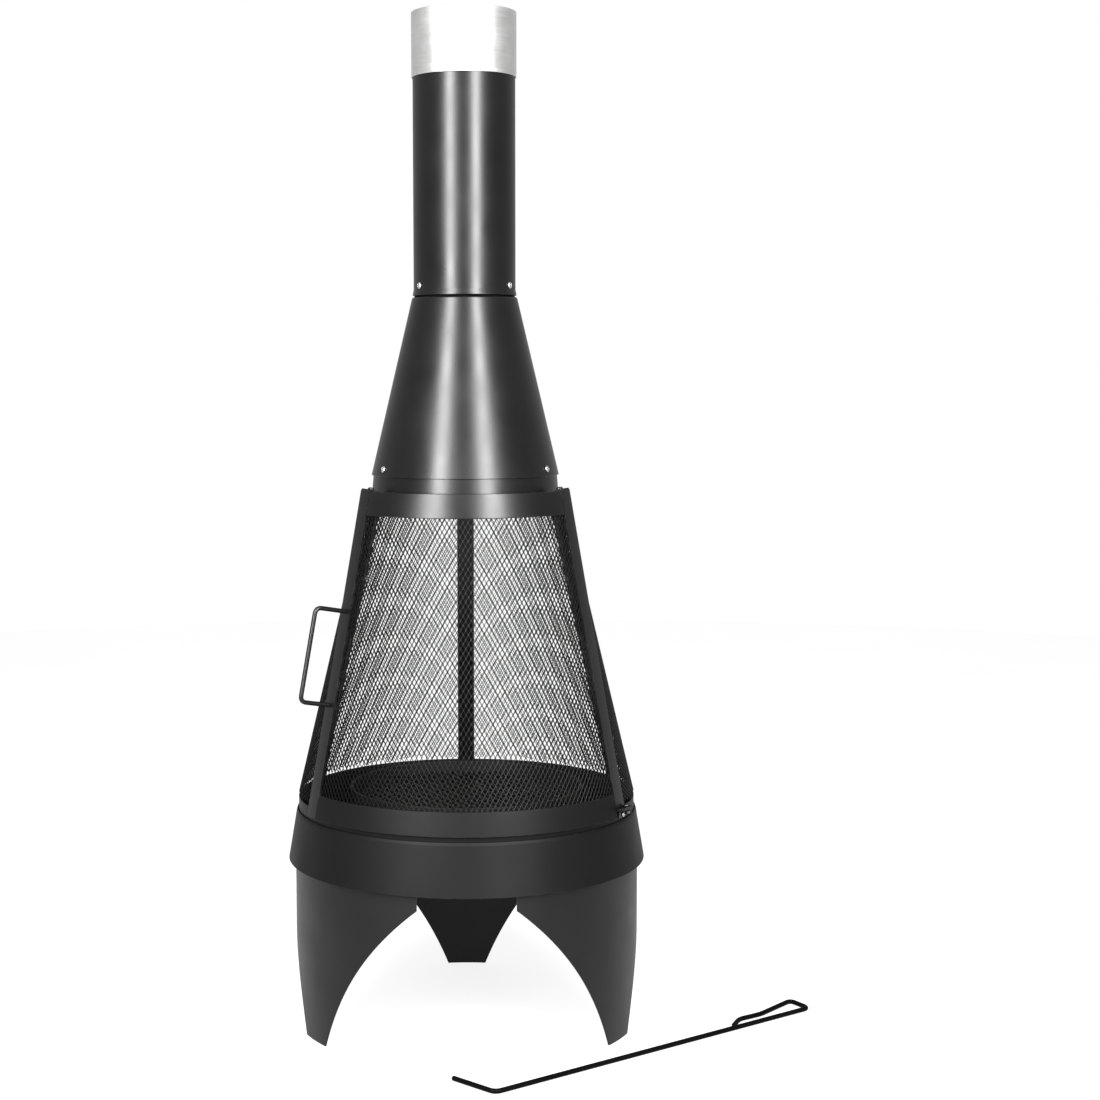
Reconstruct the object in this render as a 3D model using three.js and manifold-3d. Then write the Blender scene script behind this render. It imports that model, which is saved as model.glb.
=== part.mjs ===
// Garden chiminea: a round steel fire bowl on three curved plate legs, a conical expanded-metal
// fire chamber with a hinged mesh door, a conical hood, and a straight flue with a stainless cap.
// A log grate stands in the bowl and a poker lies on the ground in front.
// Millimetres, +Z up. The flue axis is the Z axis and the ground is z = 0.
// The door faces -Y. Angles round the axis ("bearing") start at -Y and grow towards +X.

import * as THREE from 'three';
import { mergeVertices } from 'three/addons/utils/BufferGeometryUtils.js';
import Module from 'manifold-3d';

const wasm = await Module();
wasm.setup();

// ---------------------------------------------------------------- driving dimensions

const GAP = 0.3;                  // clearance between pieces that touch
const ROUND_SIDES = 40;           // facets round each shell
const BORE_SIDES = 10;            // facets round each hole and fastener

const TOTAL_HEIGHT = 1250;
const SHEET = 1.5;                // wall of the pressed and rolled sheet parts
const SIDE_NAMES = ['left', 'right', 'rear'];
const SIDE_BEARINGS = [-60, 60, 180];   // legs, and the screws of the flue and hood

const FLUE = { radius: 62.9, bottom: 907.5, top: 1246, bead: 1.3, beadHeight: 7 };
const CAP = { radius: 64.4, wall: 1.2, bottom: 1172 };
const HOOD = {
  lowRadius: 116.4, low: 687, highRadius: 65, high: 904.5,
  lip: 1.4, bend: 3.5, neckRadius: 61, neckTop: 940,
};
const COLLAR = { bandRadius: 115.6, taper: 1.4, top: 702, bandBottom: 669, flareTop: 665, bottom: 640 };

// Conical fire chamber: outer radius of the mesh at a height. The mesh runs round the back from one
// front post to the other.
const CHAMBER = {
  topRadius: 121, topHeight: 665, slope: 0.2385, bottom: 287, top: 668, wall: 1.2, fromBearing: 62,
};
const POST = {
  width: 22, thickness: 2.5, top: 663, bottom: 266, footRadius: 208, topBearing: 64, bottomBearing: 62.75,
};

// Door: a frustum a little in front of the chamber's cone.
const DOOR = { topRadius: 145, topHeight: 657, slope: 0.18937, bottomHeight: 290 };
const STILE = {
  width: 22.5, thickness: 2.5, top: 672.3, freeEnd: 277.5, topBearing: 58.5, bottomBearing: 60.4,
};
const TOP_RAIL = { low: 642.5, high: 671 };
const BOTTOM_RAIL = { low: 277.5, high: 306 };
const RAIL_THICKNESS = 2;
const DOOR_MESH = { wall: 1.2, bottom: 284.5, top: 655 };

// Door pivots: both lie on one leaning line at the outer edge of the right stile.
// In a pivot's frame x points away from the flue, y to the right round it and z along the hinge line.
const UPPER_PIVOT = { radius: 131, bearing: 61.5, height: 669 };
const LOWER_PIVOT = { radius: 220, bearing: 62.4, height: 286.2 };
const PIVOT_PIN = { shank: 2, head: 4.2, headHeight: 3 };
const PIN_CLEARANCE = 0.3;
const PIN_LENGTH = { upper: 9.5, lower: 9.2, stop: 7.5 };
const PIN_NUT = { upper: 4.2, lower: 4, thickness: 3.2 };

// Flat tabs of the stiles, from x inner to x outer, with the hinge line near their right edge.
const TAB = { thickness: 2.5, left: -18.5, right: 4.5 };
const UPPER_TAB = { inner: -6, outer: 10.3 };
const LOWER_TAB = { inner: -7.1, outer: 6 };

// Brackets under the tabs: an ear between two depths below the tab, and a leg or plate on the shell.
const BRACKET = 2.5;
const EAR = { from: -3, to: -0.5 };
const ANGLE_BRACKET = { back: -10.1, left: -6, legRight: 12, earRight: 4.8, legBottom: -26 };
const ANGLE_EAR_TIP = { hinge: 4.8, stop: -3.2 };
const LOWER_PLATE = { width: 20, low: 274.6, high: 283.6 };
const LOWER_EAR = { back: -9.2, tip: 5, left: -6, right: 5 };

const HANDLE = { rod: 2.8, reach: 40, lowFoot: 413, highFoot: 526, corner: 8 };

const BOWL = {
  rimRadius: 210.7, rimTop: 286.5, joggleTop: 262, joggleBottom: 254, wallRadius: 212.6, corner: 12,
  floor: 212,
};
const SKIRT = {
  topRadius: 212.5, top: 270.5, shoulderRadius: 214.5, shoulder: 262, lowRadius: 223.8, low: 207,
  roll: 1.2, rollDrop: 3.5,
};

// Legs: plates rolled to a cylinder. Each side edge is an arc up to the full half-width.
const LEG = { radius: 215.3, thickness: 2, top: 240, halfWidth: 166 };
const LEG_EDGE = { radius: 454.3, centreWidth: 447.8, centreHeight: -168.3 };

const GRATE = { radius: 146, wall: 3, top: 296, bottom: 280, plate: 2.5, plateBottom: 283, legWidth: 16 };
const GRATE_LEG_BEARINGS = [0, 120, 240];

const POKER = { rod: 3, corner: 9, hookTip: [-16.5, -247.5], elbow: [31.5, -293], end: [436, 2] };
// The grip loop, as distances along and to the left of the shaft, from its end.
const POKER_LOOP = [[2.5, 35], [-66.5, 19], [-101.5, 21], [-124, 7]];

// Fasteners: shank and head radii, head height, and the heights they stand at.
const SHEET_SCREW = { shank: 1.8, length: 7, head: 4, headHeight: 2.4 };
const SMALL_HEAD = 3.2;
const RIVET = { shank: 1.8, head: 4.5, headHeight: 1.8, tail: 3.6, tailHeight: 1.8, grip: 3.8 };
const NUT = { corner: 4.2, thickness: 3, threadBeyond: 0.5 };
const HOLE_RADIUS = 2.1;
const HOLE_DEPTH = 12;
const FLUE_SCREW_HEIGHT = 919;
const HOOD_SCREW_HEIGHT = 696;
const UPPER_BOLT_HEIGHT = 652;
const LOWER_BOLT_HEIGHT = 278;
const RIVET_HEIGHT = 225;
const RIVET_SWING = 24;

// ---------------------------------------------------------------- materials

const paint = new THREE.MeshStandardMaterial({ color: 0x2b2b2b, roughness: 0.5, metalness: 0.2 });
const meshPaint = new THREE.MeshStandardMaterial({ color: 0x333333, roughness: 0.6, metalness: 0.3 });
const stainless = new THREE.MeshStandardMaterial({ color: 0xc9c9c8, roughness: 0.32, metalness: 1 });
const zinc = new THREE.MeshStandardMaterial({ color: 0xa8a8a6, roughness: 0.4, metalness: 1 });
const blackened = new THREE.MeshStandardMaterial({ color: 0x161616, roughness: 0.45, metalness: 0.6 });

// ---------------------------------------------------------------- geometry helpers

const radians = THREE.MathUtils.degToRad;

function polar(bearing, radius, height) {
  const angle = radians(bearing);
  return new THREE.Vector3(radius * Math.sin(angle), -radius * Math.cos(angle), height);
}

// Merges shared vertices, drops triangles without area and turns the faces outwards.
function closedGeometry(source) {
  const bare = source.clone();
  bare.deleteAttribute('normal');
  bare.deleteAttribute('uv');
  const merged = mergeVertices(bare, 1e-4);
  const place = merged.getAttribute('position');
  const corner = i => new THREE.Vector3().fromBufferAttribute(place, i);
  const faces = [];
  let volume = 0;
  for (let i = 0; i < merged.index.count; i += 3) {
    const [a, b, c] = [0, 1, 2].map(k => merged.index.getX(i + k));
    if (a === b || b === c || c === a) continue;
    faces.push([a, b, c]);
    volume += corner(a).dot(corner(b).cross(corner(c)));
  }
  const ordered = volume < 0 ? faces.map(([a, b, c]) => [a, c, b]) : faces;
  const geometry = new THREE.BufferGeometry();
  geometry.setAttribute('position', place.clone());
  geometry.setIndex(ordered.flat());
  return geometry;
}

function toManifold(source) {
  const geometry = closedGeometry(source);
  return new wasm.Manifold(new wasm.Mesh({
    numProp: 3,
    vertProperties: new Float32Array(geometry.getAttribute('position').array),
    triVerts: new Uint32Array(geometry.index.array),
  }));
}

function fromManifold(manifold) {
  const mesh = manifold.getMesh();
  const geometry = new THREE.BufferGeometry();
  geometry.setAttribute('position', new THREE.BufferAttribute(new Float32Array(mesh.vertProperties), 3));
  geometry.setIndex(new THREE.BufferAttribute(new Uint32Array(mesh.triVerts), 1));
  return geometry;
}

function joined(...pieces) {
  return fromManifold(pieces.map(toManifold).reduce((whole, piece) => whole.add(piece)));
}

function drilled(solid, cutters) {
  const cut = cutters.map(toManifold).reduce((whole, hole) => whole.subtract(hole), toManifold(solid));
  return fromManifold(cut);
}

// A ring or disc turned about Z from a closed outline of [radius, height] points.
function turned(outline, sides = ROUND_SIDES) {
  const points = outline.map(([radius, height]) => new THREE.Vector2(radius, height));
  points.push(points[0].clone());
  return closedGeometry(new THREE.LatheGeometry(points, sides).rotateX(Math.PI / 2));
}

// A closed sheet between an outer and an inner surface, both functions of u (across) and v (up).
function sheet(outer, inner, across, up) {
  const row = across + 1;
  const layer = row * (up + 1);
  const points = [];
  for (const surface of [outer, inner]) {
    for (let j = 0; j <= up; j += 1) {
      for (let i = 0; i <= across; i += 1) points.push(surface(i / across, j / up));
    }
  }
  const faces = [];
  const quad = (a, b, c, d) => faces.push(a, b, c, a, c, d);
  for (let j = 0; j < up; j += 1) {
    for (let i = 0; i < across; i += 1) {
      const a = j * row + i;
      quad(a, a + 1, a + row + 1, a + row);
      quad(layer + a, layer + a + row, layer + a + row + 1, layer + a + 1);
    }
  }
  for (let i = 0; i < across; i += 1) {
    const t = up * row + i;
    quad(i, layer + i, layer + i + 1, i + 1);
    quad(t, t + 1, layer + t + 1, layer + t);
  }
  for (let j = 0; j < up; j += 1) {
    const l = j * row;
    const r = l + across;
    quad(l, l + row, layer + l + row, layer + l);
    quad(r, layer + r, layer + r + row, r + row);
  }
  const geometry = new THREE.BufferGeometry();
  geometry.setAttribute('position', new THREE.Float32BufferAttribute(points.flatMap(p => p.toArray()), 3));
  geometry.setIndex(faces);
  return closedGeometry(geometry);
}

// A conical band between two bearings; radiusAt gives the outer radius at a height.
function band(fromBearing, toBearing, low, high, radiusAt, wall, across) {
  const at = inset => (u, v) => {
    const height = low + (high - low) * v;
    return polar(fromBearing + (toBearing - fromBearing) * u, radiusAt(height) - inset, height);
  };
  return sheet(at(0), at(wall), across, 1);
}

// A flat bar of constant width that follows a surface up a bearing.
function bar(bearingAt, heights, radiusAt, width, thickness, across = 2) {
  const at = inset => (u, v) => {
    const height = heights[Math.round(v * (heights.length - 1))];
    const radius = radiusAt(height);
    const swing = THREE.MathUtils.radToDeg(width / radius) * (u - 0.5);
    return polar(bearingAt(height) + swing, radius - inset, height);
  };
  return sheet(at(0), at(thickness), across, heights.length - 1);
}

// A frame with Z along an axis and X pointing away from the flue axis.
function frameAt(point, axis) {
  const outward = new THREE.Vector3(point.x, point.y, 0).normalize();
  const x = outward.addScaledVector(axis, -outward.dot(axis)).normalize();
  const y = new THREE.Vector3().crossVectors(axis, x);
  return new THREE.Matrix4().makeBasis(x, y, axis).setPosition(point);
}

// A frame on a shell whose Z is the outward normal; the shell gets narrower upwards by slope.
function shellFrame(bearing, radius, height, slope = 0) {
  const outward = polar(bearing, 1, 0);
  const z = new THREE.Vector3(outward.x, outward.y, slope).normalize();
  const x = polar(bearing + 90, 1, 0);
  const y = new THREE.Vector3().crossVectors(z, x);
  return new THREE.Matrix4().makeBasis(x, y, z).setPosition(polar(bearing, radius, height));
}

function cutter(frame, radius, from, to) {
  const rod = new THREE.CylinderGeometry(radius, radius, to - from, BORE_SIDES).rotateX(Math.PI / 2);
  return rod.translate(0, 0, (from + to) / 2).applyMatrix4(frame);
}

// A pan-head screw or bolt: its head stands GAP above the frame's origin, the shank points down -Z.
function screw(frame, { shank, length, head, headHeight, tail = 0, tailHeight = 0 }) {
  const outline = [[0, -length], [shank, -length], [shank, GAP], [head, GAP]];
  outline.push([head, GAP + headHeight * 0.55], [head * 0.6, GAP + headHeight], [0, GAP + headHeight]);
  if (tail) {
    const end = -length - tailHeight;
    outline.splice(0, 2, [0, end], [tail, end], [tail, -length], [shank, -length]);
  }
  return turned(outline, BORE_SIDES).applyMatrix4(frame);
}

function nut(frame, bore, across, from, to) {
  return turned([[bore, from], [across, from], [across, to], [bore, to]], 6).applyMatrix4(frame);
}

function boxBetween(low, high) {
  const size = high.map((value, i) => value - low[i]);
  return new THREE.BoxGeometry(...size).translate(...high.map((value, i) => (value + low[i]) / 2));
}

// A round rod along a polyline whose inner corners are rounded.
function rod(points, radius, corner, sides, steps) {
  const path = new THREE.CurvePath();
  let start = points[0];
  for (let i = 1; i < points.length - 1; i += 1) {
    const before = points[i - 1].clone().sub(points[i]).setLength(corner).add(points[i]);
    const after = points[i + 1].clone().sub(points[i]).setLength(corner).add(points[i]);
    path.add(new THREE.LineCurve3(start, before));
    path.add(new THREE.QuadraticBezierCurve3(before, points[i], after));
    start = after;
  }
  path.add(new THREE.LineCurve3(start, points[points.length - 1]));
  const section = new THREE.Shape();
  for (let i = 0; i < sides; i += 1) {
    const angle = (2 * Math.PI * i) / sides;
    const move = i === 0 ? 'moveTo' : 'lineTo';
    section[move](radius * Math.cos(angle), radius * Math.sin(angle));
  }
  const options = { extrudePath: path, steps, bevelEnabled: false };
  return closedGeometry(new THREE.ExtrudeGeometry(section, options));
}

const chiminea = new THREE.Group();

function add(name, geometry, material) {
  const mesh = new THREE.Mesh(closedGeometry(geometry), material);
  mesh.name = name;
  chiminea.add(mesh);
}

// ---------------------------------------------------------------- fastener places

const chamberRadius = height => CHAMBER.topRadius + CHAMBER.slope * (CHAMBER.topHeight - height);
const doorRadius = height => DOOR.topRadius + DOOR.slope * (DOOR.topHeight - height);
const hoodSlope = (HOOD.lowRadius - HOOD.highRadius) / (HOOD.high - HOOD.low);
const hoodRadius = height => HOOD.lowRadius - hoodSlope * (height - HOOD.low);

// The flat bars of the frame lean round the axis a little on their way up.
function leaning({ topBearing, bottomBearing }, low, high, height) {
  return bottomBearing + (topBearing - bottomBearing) * ((height - low) / (high - low));
}

const stileBearing = height => leaning(STILE, DOOR.bottomHeight, DOOR.topHeight, height);
const postLean = height => leaning(POST, POST.bottom, POST.top, height);
const postBearings = height => [-postLean(height), postLean(height), 180];

const flueScrewFrames = SIDE_BEARINGS.map(bearing => shellFrame(bearing, FLUE.radius, FLUE_SCREW_HEIGHT));
const hoodScrewFrames = SIDE_BEARINGS.map(
  bearing => shellFrame(bearing, hoodRadius(HOOD_SCREW_HEIGHT), HOOD_SCREW_HEIGHT, hoodSlope));

// The side bolts also hold the door's brackets, outside the mesh and the bowl.
const UPPER_STAND_OFF = [BRACKET + 3 * GAP, BRACKET + 3 * GAP, 0];
const LOWER_STAND_OFF = [0, BRACKET + GAP, 0];
const upperBoltFrames = postBearings(UPPER_BOLT_HEIGHT).map((bearing, i) => shellFrame(
  bearing, chamberRadius(UPPER_BOLT_HEIGHT) + UPPER_STAND_OFF[i], UPPER_BOLT_HEIGHT, CHAMBER.slope));
const lowerBoltFrames = postBearings(LOWER_BOLT_HEIGHT).map((bearing, i) => shellFrame(
  bearing, BOWL.rimRadius + LOWER_STAND_OFF[i], LOWER_BOLT_HEIGHT));

const rivetFrames = SIDE_BEARINGS.flatMap(bearing => [-RIVET_SWING, RIVET_SWING].map(
  swing => shellFrame(bearing + swing, LEG.radius, RIVET_HEIGHT)));

const holesAt = frames => frames.map(frame => cutter(frame, HOLE_RADIUS, -HOLE_DEPTH, 4));

// ---------------------------------------------------------------- flue, hood and collar

function makeFlue() {
  add('flue_cap', turned([
    [CAP.radius - CAP.wall, CAP.bottom], [CAP.radius, CAP.bottom],
    [CAP.radius, TOTAL_HEIGHT], [CAP.radius - CAP.wall, TOTAL_HEIGHT],
  ]), stainless);
  const { radius, bottom, top, bead, beadHeight } = FLUE;
  const pipe = turned([
    [radius, top], [radius, bottom + beadHeight], [radius + bead * 0.7, bottom + beadHeight * 0.4],
    [radius + bead, bottom], [radius + bead - SHEET, bottom], [radius - SHEET, bottom + beadHeight],
    [radius - SHEET, top],
  ]);
  add('flue_pipe', drilled(pipe, holesAt(flueScrewFrames)), paint);
  SIDE_NAMES.forEach((side, i) => add(`flue_screw_${side}`, screw(flueScrewFrames[i], SHEET_SCREW), zinc));
}

function makeHood() {
  const { lowRadius, low, highRadius, high, lip, bend, neckRadius, neckTop } = HOOD;
  const cone = turned([
    [lowRadius, low], [highRadius, high], [neckRadius + lip, high + lip], [neckRadius, high + bend],
    [neckRadius, neckTop], [neckRadius - SHEET, neckTop], [neckRadius - SHEET, high + bend - SHEET],
    [highRadius - SHEET, high + lip - SHEET * 2], [lowRadius - SHEET, low],
  ]);
  add('hood_cone', drilled(cone, [...holesAt(flueScrewFrames), ...holesAt(hoodScrewFrames)]), paint);
  SIDE_NAMES.forEach((side, i) => add(`hood_screw_${side}`, screw(hoodScrewFrames[i], SHEET_SCREW), zinc));
}

// The collar carries the hood on its upper cone and the chamber's posts on its lower flare.
function makeCollar() {
  const inHood = height => hoodRadius(height) - SHEET - 2 * GAP;
  const inPosts = height => chamberRadius(height) - CHAMBER.wall - POST.thickness - 3 * GAP;
  const { bandRadius, taper, top, bandBottom, flareTop, bottom } = COLLAR;
  const outside = [
    [inPosts(bottom), bottom], [inPosts(flareTop), flareTop], [bandRadius, bandBottom],
    [bandRadius - taper, HOOD.low - 1], [inHood(HOOD.low + 2), HOOD.low + 2], [inHood(top), top],
  ];
  const inside = outside.map(([outer, height]) => [outer - SHEET, height]).reverse();
  const ring = turned([...outside, ...inside]);
  add('collar', drilled(ring, [...holesAt(hoodScrewFrames), ...holesAt(upperBoltFrames)]), paint);
}

// ---------------------------------------------------------------- fire chamber

function makeChamber() {
  const { fromBearing, bottom, top, wall } = CHAMBER;
  const wrap = band(fromBearing, 360 - fromBearing, bottom, top, chamberRadius, wall, ROUND_SIDES);
  add('chamber_mesh', drilled(wrap, holesAt(upperBoltFrames)), meshPaint);
  const inset = wall + 0.5;
  const postRadius = height => Math.min(POST.footRadius, chamberRadius(height) - inset);
  const bend = CHAMBER.topHeight - (POST.footRadius + inset - CHAMBER.topRadius) / CHAMBER.slope;
  SIDE_NAMES.forEach((side, i) => {
    const bearingAt = height => postBearings(height)[i];
    const post = bar(bearingAt, [POST.bottom, bend, POST.top], postRadius, POST.width, POST.thickness, 4);
    const holes = holesAt([upperBoltFrames[i], lowerBoltFrames[i]]);
    add(`post_${side}`, drilled(post, holes), paint);
  });
}

function makeBoltSet(name, frames, grips, head, material) {
  SIDE_NAMES.forEach((side, i) => {
    const nutTop = -grips[i];
    const nutBottom = nutTop - NUT.thickness;
    const bolt = { ...SHEET_SCREW, head, length: NUT.threadBeyond - nutBottom };
    add(`${name}_bolt_${side}`, screw(frames[i], bolt), material);
    add(`${name}_nut_${side}`, nut(frames[i], HOLE_RADIUS, NUT.corner, nutBottom, nutTop), material);
  });
}

function makeChamberBolts() {
  const upperStack = CHAMBER.wall + POST.thickness + SHEET + 4 * GAP;
  const upperGrips = UPPER_STAND_OFF.map(standOff => standOff + upperStack);
  makeBoltSet('upper', upperBoltFrames, upperGrips, SHEET_SCREW.head, blackened);
  const lowerStack = BOWL.rimRadius - POST.footRadius + POST.thickness + GAP;
  const lowerGrips = LOWER_STAND_OFF.map(standOff => standOff + lowerStack);
  makeBoltSet('lower', lowerBoltFrames, lowerGrips, SMALL_HEAD, zinc);
}

// ---------------------------------------------------------------- door and its hinge

const pivotPoint = ({ radius, bearing, height }) => polar(bearing, radius, height);
const hingeAxis = pivotPoint(UPPER_PIVOT).sub(pivotPoint(LOWER_PIVOT)).normalize();
const upperPivotFrame = frameAt(pivotPoint(UPPER_PIVOT), hingeAxis);
const lowerPivotFrame = frameAt(pivotPoint(LOWER_PIVOT), hingeAxis);
const mirror = new THREE.Matrix4().makeScale(-1, 1, 1);
const stopFrame = new THREE.Matrix4().multiplyMatrices(mirror, upperPivotFrame);
const PIVOT_HOLE = PIVOT_PIN.shank + PIN_CLEARANCE;

const placed = (geometry, frame) => geometry.clone().applyMatrix4(frame);
const pivotHole = frame => cutter(frame, PIVOT_HOLE, -8, 8);

function stileBar(side, low, high) {
  const bearingAt = height => side * stileBearing(height);
  return bar(bearingAt, [low, high], doorRadius, STILE.width, STILE.thickness, 4);
}

function makeStiles() {
  const tab = ({ inner, outer }) => boxBetween([inner, TAB.left, 0], [outer, TAB.right, TAB.thickness]);
  const right = joined(
    stileBar(1, LOWER_PIVOT.height - 0.2, STILE.top),
    placed(tab(UPPER_TAB), upperPivotFrame),
    placed(tab(LOWER_TAB), lowerPivotFrame),
  );
  add('door_stile_right', drilled(right, [pivotHole(upperPivotFrame), pivotHole(lowerPivotFrame)]), paint);
  const left = joined(stileBar(-1, STILE.freeEnd, STILE.top), placed(tab(UPPER_TAB), stopFrame));
  add('door_stile_left', drilled(left, [pivotHole(stopFrame)]), paint);
}

// A strip of the door's cone between the inner edges of the two stiles.
function doorRail({ low, high }) {
  const at = inset => (u, v) => {
    const height = low + (high - low) * v;
    const radius = doorRadius(height);
    const edge = stileBearing(height) - THREE.MathUtils.radToDeg((STILE.width / 2 + GAP) / radius);
    return polar(edge * (2 * u - 1), radius - inset, height);
  };
  return sheet(at(0), at(RAIL_THICKNESS), 20, 1);
}

function makeDoorSkin() {
  add('door_top_rail', doorRail(TOP_RAIL), paint);
  add('door_bottom_rail', doorRail(BOTTOM_RAIL), paint);
  const inset = STILE.thickness + GAP;
  const meshAt = extra => (u, v) => {
    const height = DOOR_MESH.bottom + (DOOR_MESH.top - DOOR_MESH.bottom) * v;
    return polar(stileBearing(height) * (2 * u - 1), doorRadius(height) - inset - extra, height);
  };
  add('door_mesh', sheet(meshAt(0), meshAt(DOOR_MESH.wall), 24, 1), meshPaint);
}

function makeHandle() {
  const { reach, lowFoot, highFoot, corner } = HANDLE;
  const foot = height => polar(-stileBearing(height), doorRadius(height), height);
  const low = foot(lowFoot);
  const high = foot(highFoot);
  const outward = polar(-stileBearing((lowFoot + highFoot) / 2), 1, 0).setZ(DOOR.slope).normalize();
  const points = [[low, GAP], [low, reach], [high, reach], [high, GAP]];
  const route = points.map(([from, distance]) => from.clone().addScaledVector(outward, distance));
  add('door_handle', rod(route, HANDLE.rod, corner, 8, 40), paint);
}

// An angle bracket on the chamber: a leg down the mesh and an ear under the door's tab.
function angleBracket(earTip, frame) {
  const { back, left, legRight, earRight, legBottom } = ANGLE_BRACKET;
  const leg = boxBetween([back, left, legBottom], [back + BRACKET, legRight, EAR.to]);
  const ear = boxBetween([back, left, EAR.from], [earTip, earRight, EAR.to]);
  return joined(placed(leg, frame), placed(ear, frame));
}

function makeBrackets() {
  const upperCuts = [pivotHole(upperPivotFrame), ...holesAt([upperBoltFrames[1]])];
  add('hinge_bracket_upper', drilled(angleBracket(ANGLE_EAR_TIP.hinge, upperPivotFrame), upperCuts), paint);
  const stopCuts = holesAt([upperBoltFrames[0]]);
  add('stop_bracket', drilled(angleBracket(ANGLE_EAR_TIP.stop, stopFrame), stopCuts), paint);

  const { width, low, high } = LOWER_PLATE;
  const plate = bar(() => postLean(LOWER_BOLT_HEIGHT), [low, high],
    () => BOWL.rimRadius + GAP + BRACKET, width, BRACKET, 4);
  const { back, tip, left, right } = LOWER_EAR;
  const ear = placed(boxBetween([back, left, EAR.from], [tip, right, EAR.to]), lowerPivotFrame);
  const lowerCuts = [pivotHole(lowerPivotFrame), ...holesAt([lowerBoltFrames[1]])];
  add('hinge_bracket_lower', drilled(joined(plate, ear), lowerCuts), paint);
}

function makePins() {
  const lifted = frame => frame.clone().multiply(new THREE.Matrix4().makeTranslation(0, 0, TAB.thickness));
  const pin = (frame, length) => screw(lifted(frame), { ...PIVOT_PIN, length });
  const nutTop = EAR.from - GAP;
  const pinNut = (frame, corner) => nut(frame, PIVOT_HOLE, corner, nutTop - PIN_NUT.thickness, nutTop);
  add('hinge_pin_upper', pin(upperPivotFrame, PIN_LENGTH.upper), blackened);
  add('hinge_nut_upper', pinNut(upperPivotFrame, PIN_NUT.upper), blackened);
  add('hinge_pin_lower', pin(lowerPivotFrame, PIN_LENGTH.lower), blackened);
  add('hinge_nut_lower', pinNut(lowerPivotFrame, PIN_NUT.lower), blackened);
  add('stop_screw', pin(stopFrame, PIN_LENGTH.stop), blackened);
}

// ---------------------------------------------------------------- bowl, skirt and legs

function makeBowl() {
  const { rimRadius, rimTop, wallRadius, joggleTop, joggleBottom, floor, corner } = BOWL;
  const turn = [0, 30, 60, 90].map(angle => [
    wallRadius - corner + corner * Math.cos(radians(angle)),
    floor + corner - corner * Math.sin(radians(angle)),
  ]);
  const innerTurn = [90, 60, 30, 0].map(angle => [
    wallRadius - corner + (corner - SHEET) * Math.cos(radians(angle)),
    floor + corner - (corner - SHEET) * Math.sin(radians(angle)),
  ]);
  const bowl = turned([
    [rimRadius, rimTop], [rimRadius, joggleTop], [wallRadius, joggleBottom], ...turn, [0, floor],
    [0, floor + SHEET], ...innerTurn, [wallRadius - SHEET, joggleBottom], [rimRadius - SHEET, joggleTop],
    [rimRadius - SHEET, rimTop],
  ]);
  add('fire_bowl', drilled(bowl, [...holesAt(lowerBoltFrames), ...holesAt(rivetFrames)]), paint);
}

function makeSkirt() {
  const { topRadius, top, shoulderRadius, shoulder, lowRadius, low, roll, rollDrop } = SKIRT;
  const outside = [
    [topRadius, top], [topRadius + roll, top - rollDrop], [shoulderRadius, shoulder], [lowRadius, low],
  ];
  const inside = outside.map(([radius, height]) => [radius - SHEET, Math.max(low, height - SHEET / 2)]);
  add('skirt_ring', turned([...outside, ...inside.reverse()]), paint);
}

function legHalfWidth(height) {
  const { radius, centreWidth, centreHeight } = LEG_EDGE;
  const arc = centreWidth - Math.sqrt(radius ** 2 - (height - centreHeight) ** 2);
  return Math.min(LEG.halfWidth, arc);
}

function makeLegs() {
  const { radius, centreWidth, centreHeight } = LEG_EDGE;
  const shoulder = centreHeight + Math.sqrt(radius ** 2 - (centreWidth - LEG.halfWidth) ** 2);
  const steps = 10;
  const heights = Array.from({ length: steps + 1 }, (_, i) => (shoulder * i) / steps);
  heights.push(LEG.top);
  SIDE_BEARINGS.forEach((bearing, i) => {
    const at = inset => (u, v) => {
      const height = heights[Math.round(v * (heights.length - 1))];
      const swing = THREE.MathUtils.radToDeg(legHalfWidth(height) / LEG.radius);
      return polar(bearing + swing * (2 * u - 1), LEG.radius - inset, height);
    };
    const plate = sheet(at(0), at(LEG.thickness), 12, heights.length - 1);
    const frames = rivetFrames.slice(2 * i, 2 * i + 2);
    add(`leg_${SIDE_NAMES[i]}`, drilled(plate, holesAt(frames)), paint);
    const rivet = { ...RIVET, length: LEG.thickness + RIVET.grip };
    frames.forEach((frame, k) => add(`leg_rivet_${SIDE_NAMES[i]}_${k + 1}`, screw(frame, rivet), paint));
  });
}

// ---------------------------------------------------------------- log grate and poker

function makeGrate() {
  const { radius, wall, top, bottom, plate, plateBottom, legWidth } = GRATE;
  const ring = [[radius, bottom], [radius, top], [radius - wall, top], [radius - wall, bottom]];
  add('grate_ring', turned(ring), blackened);
  const plateRadius = radius - wall - GAP;
  add('grate_mesh', turned([
    [0, plateBottom], [plateRadius, plateBottom],
    [plateRadius, plateBottom + plate], [0, plateBottom + plate],
  ]), blackened);
  const floor = BOWL.floor + SHEET + GAP;
  GRATE_LEG_BEARINGS.forEach((bearing, i) => {
    const leg = bar(() => bearing, [floor, bottom - GAP], () => radius, legWidth, wall);
    add(`grate_leg_${i + 1}`, leg, blackened);
  });
}

function makePoker() {
  const flat = ([x, y]) => new THREE.Vector3(x, y, POKER.rod);
  const end = flat(POKER.end);
  const along = end.clone().sub(flat(POKER.elbow)).normalize();
  const left = new THREE.Vector3(-along.y, along.x, 0);
  const loop = POKER_LOOP.map(([forward, side]) =>
    end.clone().addScaledVector(along, forward).addScaledVector(left, side));
  const route = [flat(POKER.hookTip), flat(POKER.elbow), end, ...loop];
  add('poker', rod(route, POKER.rod, POKER.corner, 8, 70), blackened);
}

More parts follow.
